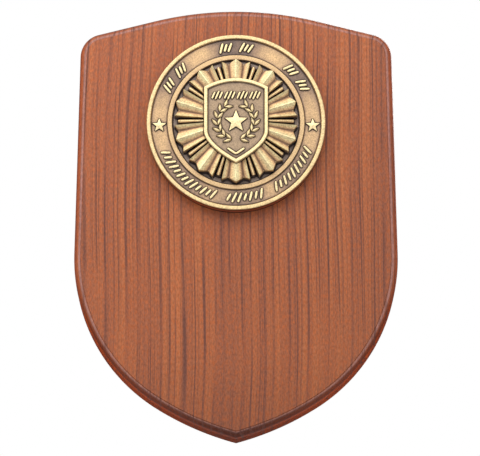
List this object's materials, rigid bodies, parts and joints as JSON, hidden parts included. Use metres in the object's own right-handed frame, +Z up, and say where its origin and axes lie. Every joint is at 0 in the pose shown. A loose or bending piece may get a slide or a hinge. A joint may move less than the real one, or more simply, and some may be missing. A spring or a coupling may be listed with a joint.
{
  "type": "medal plaque",
  "caption": "Shield-shaped wooden wall plaque with a moulded edge and a round cast medal, with rims, stars, a pleated burst and a small shield, on its upper part.",
  "frame": {"origin": "on the flat back, at the top of the keyhole slot, where the wall screw carries the plaque", "axes": "+Z up along the plaque's height, +Y out of the back towards the wall, +X to the right as seen from the front"},
  "size_m": [0.15, 0.0322, 0.202],
  "materials": {
    "wood": "reddish brown wood with fine dark vertical grain under a satin lacquer",
    "antique_brass": "cast antique brass, brushed bright on the raised parts with a dark patina in the recesses"
  },
  "bodies": {
    "root": {"shield_board": "wood", "medal": "antique_brass"}
  },
  "joints": []
}
